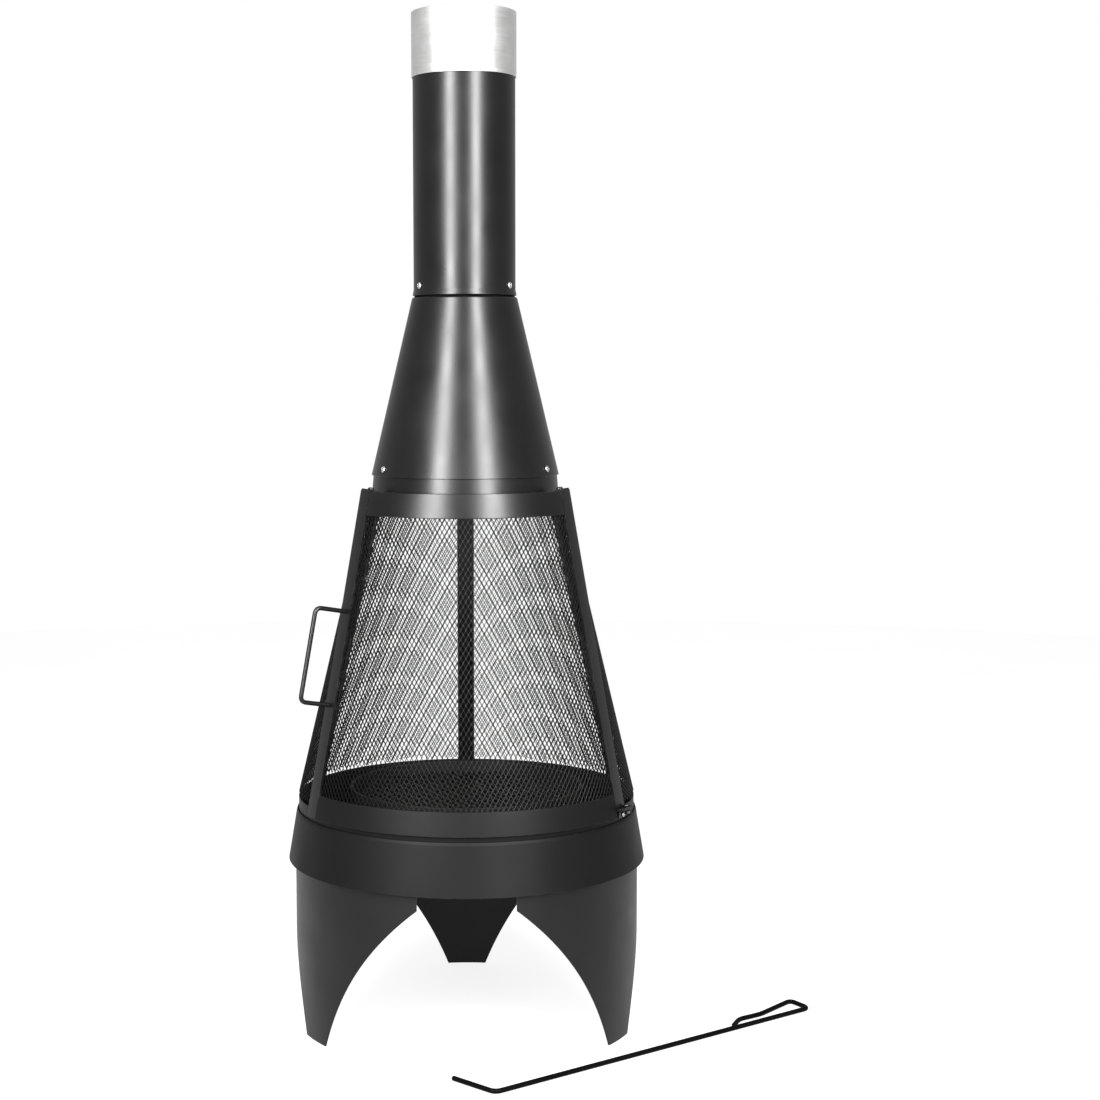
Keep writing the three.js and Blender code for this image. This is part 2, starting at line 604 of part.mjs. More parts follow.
makeFlue();
makeHood();
makeCollar();
makeChamber();
makeChamberBolts();
makeStiles();
makeDoorSkin();
makeHandle();
makeBrackets();
makePins();
makeBowl();
makeSkirt();
makeLegs();
makeGrate();
makePoker();

export default chiminea;
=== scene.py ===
# Garden chiminea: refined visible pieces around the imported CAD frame.
# Shapes are written in millimetres, +Z up, door towards -Y, and scaled to metres when a mesh is made.
# Angles round the axis ("bearing") start at -Y and grow towards +X, in degrees.

import math

import bmesh
import bpy
from mathutils import Matrix, Vector


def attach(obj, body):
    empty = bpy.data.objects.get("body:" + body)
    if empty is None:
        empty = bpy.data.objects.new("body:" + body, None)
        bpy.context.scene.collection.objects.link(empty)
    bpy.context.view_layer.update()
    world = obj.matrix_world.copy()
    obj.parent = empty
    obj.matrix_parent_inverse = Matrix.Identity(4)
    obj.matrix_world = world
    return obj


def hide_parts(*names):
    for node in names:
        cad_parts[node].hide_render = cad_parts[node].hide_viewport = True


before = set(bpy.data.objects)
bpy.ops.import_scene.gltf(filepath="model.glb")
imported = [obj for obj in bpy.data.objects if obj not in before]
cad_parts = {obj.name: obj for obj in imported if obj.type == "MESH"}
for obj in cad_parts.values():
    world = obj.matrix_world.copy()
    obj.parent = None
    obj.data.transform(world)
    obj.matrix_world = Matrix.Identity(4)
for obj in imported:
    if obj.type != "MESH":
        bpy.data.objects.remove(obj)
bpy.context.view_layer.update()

MM = 0.001
GAP = 0.3                 # clearance that the CAD pieces keep
SEGMENTS = 160            # facets round each shell
SHEET = 1.5               # wall of the pressed and rolled sheet parts
SHEET_EDGE = 0.45         # rounding of a sheet's cut edges
SIDES = {"left": -60, "right": 60, "rear": 180}

# ---------------------------------------------------------------- driving dimensions

FLUE = {"radius": 62.9, "bottom": 907.5, "top": 1246, "bead": 1.3, "bead_height": 7}
CAP = {"radius": 64.4, "wall": 1.2, "bottom": 1172, "top": 1250}
HOOD = {"low_radius": 116.4, "low": 687, "high_radius": 65, "high": 904.5, "lip": 1.4, "bend": 3.5,
        "neck": 61, "neck_top": 940}
COLLAR = {"band_radius": 115.6, "taper": 1.4, "top": 702, "band_bottom": 669, "flare_top": 665,
          "bottom": 640}
CHAMBER = {"top_radius": 121, "top_height": 665, "slope": 0.2385, "bottom": 287, "top": 668, "wall": 1.2,
           "from_bearing": 62}
POST = {"width": 22, "thickness": 2.5, "top": 663, "bottom": 266, "foot_radius": 208,
        "top_bearing": 64, "bottom_bearing": 62.75}
DOOR = {"top_radius": 145, "top_height": 657, "slope": 0.18937, "bottom_height": 290}
STILE = {"width": 22.5, "thickness": 2.5, "top": 672.3, "free_end": 277.5, "top_bearing": 58.5,
         "bottom_bearing": 60.4}
TOP_RAIL = (642.5, 671)
BOTTOM_RAIL = (277.5, 306)
RAIL_THICKNESS = 2
DOOR_MESH = {"bottom": 284.5, "top": 655}
UPPER_PIVOT = {"radius": 131, "bearing": 61.5, "height": 669}
LOWER_PIVOT = {"radius": 220, "bearing": 62.4, "height": 286.2}
TAB = {"thickness": 2.5, "left": -18.5, "right": 4.5}
UPPER_TAB = (-6, 10.3)          # a tab's inner and outer end, outwards from the hinge line
LOWER_TAB = (-7.1, 6)
HANDLE = {"rod": 2.8, "reach": 40, "low_foot": 413, "high_foot": 526, "corner": 8}
BOWL = {"rim_radius": 210.7, "rim_top": 286.5, "wall_radius": 212.6, "joggle_top": 262, "joggle_bottom": 254,
        "floor": 212, "corner": 12}
SKIRT = {"top_radius": 212.5, "top": 270.5, "shoulder_radius": 214.5, "shoulder": 262, "low_radius": 223.8,
         "low": 207, "roll": 1.2, "roll_drop": 3.5}
LEG = {"radius": 215.3, "thickness": 2, "top": 240, "half_width": 166}
LEG_EDGE = {"radius": 454.3, "centre_width": 447.8, "centre_height": -168.3}
GRATE = {"radius": 146, "wall": 3, "top": 296, "bottom": 280, "plate": 2.5, "plate_bottom": 283,
         "leg_width": 16, "mesh_margin": 4, "long_way": 1.04}
POKER = {"rod": 3, "hook_tip": (-16.5, -247.5), "elbow": (31.5, -293), "end": (436, 2), "corner": 9}
POKER_LOOP = [(2.5, 35), (-66.5, 19), (-101.5, 21), (-124, 7)]   # along and left of the shaft, from its end

# Expanded metal: a cell's short and long way, half its bond, and how far a strand leans out of the sheet.
FINE_MESH = {"short": 6.2, "long": 11, "bond_half_width": 0.75, "bond_half_length": 0.65, "tip": 0.75,
             "lean": 0.25}
COARSE_MESH = {"short": 12, "long": 26, "bond_half_width": 1.9, "bond_half_length": 2.2, "tip": 2.2,
               "lean": 0.5}
FINE_STRAND = 0.96        # strand thickness of the chamber and door mesh
COARSE_STRAND = 1.75      # strand thickness of the grate's mesh
# How many half cells are tried each side of the middle, and from where to where down the sheet.
CHAMBER_CELLS = {"across": 140, "up": (-20, 184)}
DOOR_CELLS = {"across": 75, "up": (-10, 170)}
GRATE_CELLS = {"across": 26, "up": (-12, 12)}

SCREW = {"shank": 1.8, "head": 4, "head_height": 2.4}
SMALL_HEAD = 3.2
RIVET = {"shank": 1.8, "head": 4.5, "head_height": 1.8}
PIN = {"shank": 2, "head": 4.2, "head_height": 3}
PIN_LENGTH = {"upper": 9.5, "lower": 9.2, "stop": 7.5}
NUT = {"bore": 2.1, "corner": 4.2, "thickness": 3, "thread_beyond": 0.5}
PIN_NUT = {"bore": 2.3, "upper": 4.2, "lower": 4, "low": -6.5, "high": -3.3}
FLUE_SCREW_HEIGHT = 919
HOOD_SCREW_HEIGHT = 696
UPPER_BOLT_HEIGHT = 652
LOWER_BOLT_HEIGHT = 278
RIVET_HEIGHT = 225
RIVET_SWING = 24
BRACKET = 2.5
SHEET_SCREW_LENGTH = 7
WORN_COLOUR = (0.05, 0.048, 0.045)


def chamber_radius(height):
    return CHAMBER["top_radius"] + CHAMBER["slope"] * (CHAMBER["top_height"] - height)


def door_radius(height):
    return DOOR["top_radius"] + DOOR["slope"] * (DOOR["top_height"] - height)


HOOD_SLOPE = (HOOD["low_radius"] - HOOD["high_radius"]) / (HOOD["high"] - HOOD["low"])


def hood_radius(height):
    return HOOD["low_radius"] - HOOD_SLOPE * (height - HOOD["low"])


def leaning(bar_size, low, high, height):
    """The bearing of a flat bar that leans round the axis a little on its way up."""
    share = (height - low) / (high - low)
    return bar_size["bottom_bearing"] + (bar_size["top_bearing"] - bar_size["bottom_bearing"]) * share


def stile_bearing(height):
    return leaning(STILE, DOOR["bottom_height"], DOOR["top_height"], height)


def post_bearing(side, height):
    lean = leaning(POST, POST["bottom"], POST["top"], height)
    return {"left": -lean, "right": lean, "rear": 180}[side]


# ---------------------------------------------------------------- materials


class Nodes:
    """A material's node tree, with short calls for the nodes that these materials use."""

    def __init__(self, name):
        self.material = bpy.data.materials.new(name)
        self.material.use_nodes = True
        self.tree = self.material.node_tree
        self.shader = self.tree.nodes["Principled BSDF"]
        self.place = self.tree.nodes.new("ShaderNodeTexCoord").outputs["Object"]

    def link(self, source, target):
        self.tree.links.new(source, target)

    def stretched(self, scale):
        node = self.tree.nodes.new("ShaderNodeMapping")
        node.inputs["Scale"].default_value = scale
        self.link(self.place, node.inputs["Vector"])
        return node.outputs["Vector"]

    def noise(self, scale, detail=3.0, rough=0.5, place=None):
        node = self.tree.nodes.new("ShaderNodeTexNoise")
        node.inputs["Scale"].default_value = scale
        node.inputs["Detail"].default_value = detail
        node.inputs["Roughness"].default_value = rough
        self.link(place or self.place, node.inputs["Vector"])
        return node.outputs["Fac"]

    def spread(self, value, low, high, to_low, to_high):
        node = self.tree.nodes.new("ShaderNodeMapRange")
        for name, number in (("From Min", low), ("From Max", high), ("To Min", to_low), ("To Max", to_high)):
            node.inputs[name].default_value = number
        self.link(value, node.inputs["Value"])
        return node.outputs["Result"]

    def math(self, kind, a, b):
        node = self.tree.nodes.new("ShaderNodeMath")
        node.operation = kind
        for socket, value in zip(node.inputs, (a, b)):
            if isinstance(value, (int, float)):
                socket.default_value = value
            else:
                self.link(value, socket)
        return node.outputs["Value"]

    def mix(self, share, dark, light):
        node = self.tree.nodes.new("ShaderNodeMix")
        node.data_type = "RGBA"
        self.link(share, node.inputs["Factor"])
        for socket, colour in ((node.inputs["A"], dark), (node.inputs["B"], light)):
            if isinstance(colour, tuple):
                socket.default_value = (*colour, 1)
            else:
                self.link(colour, socket)
        return node.outputs["Result"]

    def bump(self, height, strength, distance):
        node = self.tree.nodes.new("ShaderNodeBump")
        node.inputs["Strength"].default_value = strength
        node.inputs["Distance"].default_value = distance
        self.link(height, node.inputs["Height"])
        self.link(node.outputs["Normal"], self.shader.inputs["Normal"])

    def edges(self, radius):
        """0 on open faces, towards 1 along edges, from how far a small bevel would turn the normal."""
        bevel = self.tree.nodes.new("ShaderNodeBevel")
        bevel.samples = 4
        bevel.inputs["Radius"].default_value = radius
        true_normal = self.tree.nodes.new("ShaderNodeNewGeometry").outputs["Normal"]
        dot = self.tree.nodes.new("ShaderNodeVectorMath")
        dot.operation = "DOT_PRODUCT"
        self.link(bevel.outputs["Normal"], dot.inputs[0])
        self.link(true_normal, dot.inputs[1])
        return self.spread(dot.outputs["Value"], 1.0, 0.75, 0.0, 1.0)


def satin_paint(name, dark, light, roughness, peel, shine, wear=True):
    """Heat-resistant paint: a faint orange peel, uneven sheen, fine specks and thin spots along edges."""
    n = Nodes(name)
    broad = n.noise(7, 4)
    specks = n.spread(n.noise(1500, 2), 0.62, 0.75, 0.0, 0.5)
    share = n.math("ADD", n.spread(broad, 0.3, 0.7, 0.0, 0.7), specks)
    colour = n.mix(share, dark, light)
    gloss = n.spread(n.noise(18, 5), 0.25, 0.75, roughness - 0.045, roughness + 0.05)
    if wear:
        worn = n.math("MULTIPLY", n.edges(0.0009), n.spread(n.noise(90, 5), 0.5, 0.68, 0.0, 0.75))
        colour = n.mix(worn, colour, WORN_COLOUR)
        gloss = n.math("ADD", gloss, n.math("MULTIPLY", worn, 0.12))
    n.link(colour, n.shader.inputs["Base Color"])
    n.link(gloss, n.shader.inputs["Roughness"])
    n.shader.inputs["Specular IOR Level"].default_value = shine
    n.bump(n.noise(650, 3, 0.6), peel, 0.0004)
    return n.material


def metal(name, dark, light, roughness, grain):
    """Plated or blackened metal with a fine grain."""
    n = Nodes(name)
    fine = n.noise(grain, 4, 0.65)
    broad = n.noise(25, 3)
    share = n.math("ADD", n.math("MULTIPLY", fine, 0.6), n.math("MULTIPLY", broad, 0.4))
    n.link(n.mix(n.spread(share, 0.35, 0.65, 0.0, 1.0), dark, light), n.shader.inputs["Base Color"])
    n.link(n.spread(share, 0.3, 0.7, roughness - 0.05, roughness + 0.07), n.shader.inputs["Roughness"])
    n.shader.inputs["Metallic"].default_value = 1.0
    n.bump(fine, 0.12, 0.0001)
    return n.material


def brushed_stainless():
    """Stainless sheet whose brush lines run round the tube."""
    n = Nodes("brushed_stainless")
    lines = n.noise(1, 5, 0.7, n.stretched((30, 30, 2600)))
    stains = n.noise(30, 4)
    n.link(n.mix(n.spread(lines, 0.35, 0.65, 0.0, 1.0), (0.62, 0.618, 0.615), (0.73, 0.728, 0.725)),
           n.shader.inputs["Base Color"])
    rough = n.math("ADD", n.spread(lines, 0.3, 0.7, 0.31, 0.37), n.spread(stains, 0.35, 0.7, 0.0, 0.07))
    n.link(rough, n.shader.inputs["Roughness"])
    n.shader.inputs["Metallic"].default_value = 1.0
    n.bump(lines, 0.09, 0.0001)
    return n.material


LOOKS = {
    "black_paint": satin_paint("black_paint", (0.0008, 0.0008, 0.0009), (0.0024, 0.0024, 0.0026),
                               roughness=0.31, peel=0.07, shine=0.27),
    "base_paint": satin_paint("base_paint", (0.001, 0.001, 0.0011), (0.0025, 0.0025, 0.0028),
                              roughness=0.52, peel=0.1, shine=0.1),
    "mesh_paint": satin_paint("mesh_paint", (0.0012, 0.0012, 0.0012), (0.004, 0.0039, 0.0038),
                              roughness=0.45, peel=0.1, shine=0.12, wear=False),
    "brushed_stainless": brushed_stainless(),
    "zinc_screw": metal("zinc_screw", (0.3, 0.3, 0.31), (0.46, 0.46, 0.45), roughness=0.42, grain=900),
    "blackened_bolt": metal("blackened_bolt", (0.025, 0.025, 0.026), (0.06, 0.058, 0.055),
                            roughness=0.4, grain=900),
    "grate_black": satin_paint("grate_black", (0.002, 0.0019, 0.0018), (0.006, 0.0058, 0.0056),
                               roughness=0.5, peel=0.16, shine=0.12),
    "leg_paint": satin_paint("leg_paint", (0.0012, 0.0012, 0.0013), (0.003, 0.003, 0.0033),
                             roughness=0.44, peel=0.1, shine=0.2),
    "poker_paint": satin_paint("poker_paint", (0.0006, 0.0006, 0.0006), (0.0018, 0.0018, 0.0018),
                               roughness=0.5, peel=0.16, shine=0.03),
}
# Looks that are a variant of one of the record's slots.
SLOTS = {"base_paint": "black_paint", "leg_paint": "black_paint", "poker_paint": "grate_black"}

# ---------------------------------------------------------------- mesh helpers


def polar(bearing, radius, height):
    angle = math.radians(bearing)
    return Vector((radius * math.sin(angle), -radius * math.cos(angle), height))


def mesh_from(name, vertices, faces):
    """A mesh in metres from millimetre points, with its faces turned outwards."""
    mesh = bpy.data.meshes.new(name)
    mesh.from_pydata([Vector(v) * MM for v in vertices], [], faces)
    shape = bmesh.new()
    shape.from_mesh(mesh)
    bmesh.ops.recalc_face_normals(shape, faces=shape.faces)
    shape.to_mesh(mesh)
    shape.free()
    return mesh


def soften(piece, edge):
    """Rounds the sharp edges, and keeps the shading of wide faces flat beside the narrow rounded ones."""
    if edge:
        bevel = piece.modifiers.new("rounded_edges", "BEVEL")
        bevel.width = edge * MM
        bevel.segments = 2
        bevel.limit_method = "ANGLE"
        bevel.angle_limit = math.radians(38)
    piece.modifiers.new("weighted_normals", "WEIGHTED_NORMAL").weight = 100


def dress(piece, look, body, nodes, edge=0.0, smooth=True):
    """Gives a piece its material and body, and hides the CAD nodes that it stands for."""
    piece.data.materials.clear()
    piece.data.materials.append(LOOKS[look])
    if smooth:
        piece.data.shade_smooth()
        soften(piece, edge)
    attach(piece, body)
    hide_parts(*nodes)
    SLOTS.get(look, look)
    return piece


def add_piece(node, mesh, look, body="root", edge=0.0, smooth=True, at=None, name=None):
    piece = bpy.data.objects.new(name or f"{node}_visual", mesh)
    bpy.context.scene.collection.objects.link(piece)
    if at is not None:
        piece.matrix_world = at
    return dress(piece, look, body, [node], edge, smooth)


def filleted(outline, radius, steps=4):
    """The closed outline with its corners rounded: radius is one number, or one for each corner."""
    radii = radius if isinstance(radius, list) else [radius] * len(outline)
    points = []
    for i, (corner, size) in enumerate(zip(outline, radii)):
        here = Vector(corner)
        back = Vector(outline[i - 1]) - here
        on = Vector(outline[(i + 1) % len(outline)]) - here
        opening = back.angle(on)
        if size == 0 or corner[0] < 1e-6 or opening > math.radians(179):
            points.append(here)
            continue
        reach = min(size / math.tan(opening / 2), 0.45 * back.length, 0.45 * on.length)
        start = here + back.normalized() * reach
        end = here + on.normalized() * reach
        centre = here + (back.normalized() + on.normalized()).normalized() * (reach / math.cos(opening / 2))
        first = start - centre
        turn = first.angle_signed(end - centre)
        for k in range(steps + 1):
            angle = -turn * k / steps
            points.append(centre + Matrix.Rotation(angle, 2) @ first)
    return [(p[0], p[1]) for p in points]


def turned(name, outline, segments=SEGMENTS):
    """A mesh turned about Z from a closed outline of (radius, height); points on the axis are shared."""
    vertices, rings = [], []
    for radius, height in outline:
        if radius < 1e-6:
            rings.append([len(vertices)] * segments)
            vertices.append((0, 0, height))
            continue
        rings.append(list(range(len(vertices), len(vertices) + segments)))
        vertices += [polar(360 * k / segments, radius, height) for k in range(segments)]
    faces = []
    for i, ring in enumerate(rings):
        above = rings[(i + 1) % len(rings)]
        for k in range(segments):
            corners = [ring[k], ring[(k + 1) % segments], above[(k + 1) % segments], above[k]]
            face = list(dict.fromkeys(corners))
            if len(face) > 2:
                faces.append(face)
    return mesh_from(name, vertices, faces)


def sheet(name, outer, inner, across, up):
    """A closed sheet between two surfaces, both functions of u (across) and v (up)."""
    row, layer = across + 1, (across + 1) * (up + 1)
    vertices = [surface(i / across, j / up)
                for surface in (outer, inner) for j in range(up + 1) for i in range(row)]
    faces = []
    for j in range(up):
        for i in range(across):
            a = j * row + i
            faces.append((a, a + 1, a + row + 1, a + row))
            faces.append((layer + a, layer + a + row, layer + a + row + 1, layer + a + 1))
    for i in range(across):
        top = up * row + i
        faces.append((i, layer + i, layer + i + 1, i + 1))
        faces.append((top, top + 1, layer + top + 1, layer + top))
    for j in range(up):
        left, right = j * row, j * row + across
        faces.append((left, left + row, layer + left + row, layer + left))
        faces.append((right, layer + right, layer + right + row, right + row))
    return mesh_from(name, vertices, faces)


def bar(name, bearing_at, heights, radius_at, width, thickness, across=6):
    """A flat bar of constant width that follows a surface up a bearing."""
    def at(inset):
        def point(u, v):
            height = heights[round(v * (len(heights) - 1))]
            radius = radius_at(height)
            swing = math.degrees(width / radius) * (u - 0.5)
            return polar(bearing_at(height) + swing, radius - inset, height)
        return point
    return sheet(name, at(0), at(thickness), across, len(heights) - 1)


def steps_between(low, high, count):
    return [low + (high - low) * i / count for i in range(count + 1)]


def frame_at(point, axis):
    """A frame in millimetres with Z along an axis and X pointing away from the flue axis."""
    outward = Vector((point.x, point.y, 0)).normalized()
    x = (outward - axis * outward.dot(axis)).normalized()
    return basis(x, axis.cross(x), axis, point)


def shell_frame(bearing, radius, height, slope=0.0):
    """A frame on a shell whose Z is the outward normal; the shell gets narrower upwards by slope."""
    outward = polar(bearing, 1, 0)
    z = Vector((outward.x, outward.y, slope)).normalized()
    x = polar(bearing + 90, 1, 0)
    return basis(x, z.cross(x), z, polar(bearing, radius, height))


def basis(x, y, z, point):
    turn = Matrix((x, y, z)).transposed().to_4x4()
    return Matrix.Translation(point) @ turn


def in_metres(matrix):
    return Matrix.Translation(matrix.translation * MM) @ matrix.to_3x3().to_4x4()


def box(name, low, high, place=None):
    corners = [Vector((x, y, z))
               for x in (low[0], high[0]) for y in (low[1], high[1]) for z in (low[2], high[2])]
    if place is not None:
        corners = [place @ c for c in corners]
    faces = [(0, 1, 3, 2), (4, 6, 7, 5), (0, 4, 5, 1), (2, 3, 7, 6), (0, 2, 6, 4), (1, 5, 7, 3)]
    return mesh_from(name, corners, faces)


def combined(mesh, others, kind="UNION"):
    """The mesh joined with, or cut by, the other meshes."""
    scene = bpy.context.scene
    whole = bpy.data.objects.new("whole", mesh)
    scene.collection.objects.link(whole)
    tools = []
    for other in others:
        tool = bpy.data.objects.new("tool", other)
        scene.collection.objects.link(tool)
        step = whole.modifiers.new("step", "BOOLEAN")
        step.operation, step.solver, step.object = kind, "EXACT", tool
        tools.append(tool)
    bpy.context.view_layer.update()
    result = bpy.data.meshes.new_from_object(whole.evaluated_get(bpy.context.evaluated_depsgraph_get()))
    for spent in [whole, *tools]:
        bpy.data.objects.remove(spent)
    return result


def rod(name, points, radius, corner, sides=20, steps=8):
    """A round rod along a polyline with rounded corners and slightly domed ends."""
    path = [points[0]]
    for before, here, after in zip(points, points[1:], points[2:]):
        start = here + (before - here).normalized() * corner
        end = here + (after - here).normalized() * corner
        for k in range(steps + 1):
            t = k / steps
            path.append(start * (1 - t) ** 2 + here * (2 * t * (1 - t)) + end * t * t)
    path.append(points[-1])
    directions = [(b - a).normalized() for a, b in zip(path, path[1:])]
    side = directions[0].orthogonal().normalized()
    vertices, rings = [], []

    def ring(centre, along, size):
        other = along.cross(side)
        rings.append(len(vertices))
        for k in range(sides):
            angle = 2 * math.pi * k / sides
            vertices.append(centre + (side * math.cos(angle) + other * math.sin(angle)) * size)

    dome = radius * 0.35
    for i, centre in enumerate(path):
        along = directions[max(i - 1, 0)] + directions[min(i, len(directions) - 1)]
        along.normalize()
        side = (side - along * side.dot(along)).normalized()
        if i == 0:
            ring(centre, along, radius * 0.72)
            ring(centre + along * dome * 0.35, along, radius * 0.93)
            ring(centre + along * dome, along, radius)
        elif i == len(path) - 1:
            ring(centre - along * dome, along, radius)
            ring(centre - along * dome * 0.35, along, radius * 0.93)
            ring(centre, along, radius * 0.72)
        else:
            ring(centre, along, radius)
    faces = []
    for a, b in zip(rings, rings[1:]):
        for k in range(sides):
            faces.append((a + k, a + (k + 1) % sides, b + (k + 1) % sides, b + k))
    faces.append([rings[0] + k for k in range(sides)])
    faces.append([rings[-1] + k for k in range(sides)])
    return mesh_from(name, vertices, faces)


def expanded_metal(name, cell, extent, wall, inside, place):
    """Slit and stretched sheet: staggered cells, each a six-sided hole between leaning strands.
    extent is the range of half cells to try, inside says whether a flat point is on the sheet, and
    place puts a flat point at a depth in space."""
    half_short, half_long = cell["short"] / 2, cell["long"] / 2
    lean = cell["lean"]
    bond_end = cell["bond_half_length"]
    end = half_long - cell["tip"]
    side_way = half_short - cell["bond_half_width"]
    hole = [(0, end, 0), (side_way, bond_end, -lean), (side_way, -bond_end, -lean),
            (0, -end, 0), (-side_way, -bond_end, lean), (-side_way, bond_end, lean)]
    strands = set()
    across, up = extent["across"], extent["up"]
    for i in range(-across, across + 1):
        for j in range(up[0], up[1] + 1):
            if (i + j) % 2 or not inside(i * half_short, j * half_long):
                continue
            for side, (di, dj) in enumerate(((1, 1), (1, -1), (-1, -1), (-1, 1))):
                strands.add((i, j, side))
                strands.add((i + di, j + dj, (side + 2) % 4))
    index, vertices = {}, []

    def corner(i, j, k=None):
        key = (i, j, k)
        if key not in index:
            x, y, out = (0, 0, 0) if k is None else hole[k]
            x, y = x + i * half_short, y + j * half_long
            index[key] = len(vertices)
            vertices.append(place(x, y, -out))
            vertices.append(place(x, y, wall - out))
        return index[key]

    faces = []
    for i, j, side in sorted(strands):
        top, right, low, left = (i, j + 1), (i + 1, j), (i, j - 1), (i - 1, j)
        node_a, node_b, hole_b, hole_a = (
            (top, right, 1, 0), (right, low, 3, 2), (low, left, 4, 3), (left, top, 0, 5))[side]
        faces.append([corner(i, j, hole_a), corner(i, j, hole_b), corner(*node_b), corner(*node_a)])
        if side == 0 and (i, j, 1) in strands:
            faces.append([corner(*right), corner(i, j, 1), corner(i, j, 2)])
        if side == 2 and (i, j, 3) in strands:
            faces.append([corner(*left), corner(i, j, 4), corner(i, j, 5)])
    rims = {(a, b) for face in faces for a, b in zip(face, face[1:] + face[:1])}
    solid = [list(face) for face in faces] + [[v + 1 for v in reversed(face)] for face in faces]
    solid += [[b, a, a + 1, b + 1] for a, b in sorted(rims) if (b, a) not in rims]
    mesh = bpy.data.meshes.new(name)
    mesh.from_pydata([Vector(v) * MM for v in vertices], [], solid)
    mesh.update()
    return mesh


def cone_sheet(radius_at_zero, slope, centre_bearing):
    """Maps a flat point (across, down the slant) onto a cone, and back to its bearing and height.
    The sheet's straight line down the middle lies on centre_bearing."""
    lean = math.atan(slope)
    apex = radius_at_zero / slope

    def unroll(x, y):
        slant = math.hypot(x, y)
        return math.degrees(math.atan2(x, -y)) / math.sin(lean), apex - slant * math.cos(lean), slant

    def place(x, y, depth):
        swing, height, slant = unroll(x, y)
        radius = slant * math.sin(lean) - depth * math.cos(lean)
        return polar(centre_bearing + swing, radius, height - depth * math.sin(lean))

    return unroll, place, apex / math.cos(lean)


# ---------------------------------------------------------------- fasteners


def screw_mesh(name, size, length, recess=True):
    """A pan-head screw: head over z = GAP, a ridged shank down -Z, and a cross recess."""
    shank, head, height = size["shank"], size["head"], size["head_height"]
    outline = [(0, -length), (shank * 0.6, -length)]
    pitch = 0.8
    ridge = -length + 0.5
    while ridge < -pitch:
        outline += [(shank - 0.22, ridge), (shank, ridge + pitch / 2)]
        ridge += pitch
    outline += [(shank, GAP), (head, GAP), (head, GAP + height * 0.3)]
    turns = 7
    for k in range(1, turns + 1):
        angle = math.pi / 2 * k / turns
        outline.append((head * math.cos(angle), GAP + height * (0.3 + 0.7 * math.sin(angle))))
    outline[-1] = (0, GAP + height)
    mesh = turned(name, outline, 28)
    if not recess:
        return mesh
    arm, slot, depth = head * 0.52, 0.42, height * 0.62
    top = GAP + height + 1
    cross = [box("arm_x", (-arm, -slot, top - 1 - depth), (arm, slot, top)),
             box("arm_y", (-slot, -arm, top - 1 - depth), (slot, arm, top))]
    return combined(mesh, cross, "DIFFERENCE")


def nut_mesh(name, bore, corner, low, high, samples=8):
    """A hexagon nut with its corners chamfered, between two heights."""
    flat = corner * math.cos(math.radians(30))
    count = 6 * samples
    inner = []
    rings = [[] for _ in range(6)]
    for k in range(count):
        bearing = 360 * k / count
        side = flat / math.cos(math.radians((bearing % 60) - 30))
        drop = max(0.0, side - flat * 1.02) * 0.6
        places = [(bore + 0.3, low), (flat * 0.95, low), (side, low + drop + 0.1),
                  (side, high - drop - 0.1), (flat * 0.95, high), (bore + 0.3, high)]
        for ring, (radius, height) in zip(rings, places):
            ring.append(polar(bearing, radius, height))
    for height in (high - 0.3, low + 0.3):
        inner.append([polar(360 * k / count, bore, height) for k in range(count)])
    rings += inner
    vertices = [v for ring in rings for v in ring]
    faces = []
    for r in range(len(rings)):
        a, b = r * count, (r + 1) % len(rings) * count
        for k in range(count):
            faces.append((a + k, a + (k + 1) % count, b + (k + 1) % count, b + k))
    return mesh_from(name, vertices, faces)


def make_sheet_screws():
    screw = screw_mesh("sheet_screw", SCREW, SHEET_SCREW_LENGTH)
    for side, bearing in SIDES.items():
        at = in_metres(shell_frame(bearing, FLUE["radius"], FLUE_SCREW_HEIGHT))
        add_piece(f"flue_screw_{side}", screw.copy(), "zinc_screw", at=at)
        at = in_metres(shell_frame(bearing, hood_radius(HOOD_SCREW_HEIGHT), HOOD_SCREW_HEIGHT, HOOD_SLOPE))
        add_piece(f"hood_screw_{side}", screw.copy(), "zinc_screw", at=at)


def make_bolt_set(name, look, place_at, grip_of, head):
    for side in SIDES:
        at = in_metres(place_at(side))
        grip = grip_of(side)
        low = -grip - NUT["thickness"]
        bolt = screw_mesh(f"{name}_bolt", {**SCREW, "head": head}, NUT["thread_beyond"] - low)
        add_piece(f"{name}_bolt_{side}", bolt, look, at=at)
        nut = nut_mesh(f"{name}_nut", NUT["bore"], NUT["corner"], low, -grip)
        add_piece(f"{name}_nut_{side}", nut, look, at=at)


def make_chamber_bolts():
    """The side bolts also hold the door's brackets, outside the mesh and the bowl."""
    upper_stack = CHAMBER["wall"] + POST["thickness"] + SHEET + 4 * GAP
    lower_stack = BOWL["rim_radius"] - POST["foot_radius"] + POST["thickness"] + GAP

    def upper_stand_off(side):
        return 0 if side == "rear" else BRACKET + 3 * GAP

    def lower_stand_off(side):
        return BRACKET + GAP if side == "right" else 0

    def upper(side):
        radius = chamber_radius(UPPER_BOLT_HEIGHT) + upper_stand_off(side)
        return shell_frame(post_bearing(side, UPPER_BOLT_HEIGHT), radius, UPPER_BOLT_HEIGHT, CHAMBER["slope"])

    def lower(side):
        radius = BOWL["rim_radius"] + lower_stand_off(side)
        return shell_frame(post_bearing(side, LOWER_BOLT_HEIGHT), radius, LOWER_BOLT_HEIGHT)

    make_bolt_set("upper", "blackened_bolt", upper, lambda side: upper_stand_off(side) + upper_stack,
                  SCREW["head"])
    make_bolt_set("lower", "zinc_screw", lower, lambda side: lower_stand_off(side) + lower_stack, SMALL_HEAD)


# ---------------------------------------------------------------- flue, hood and collar


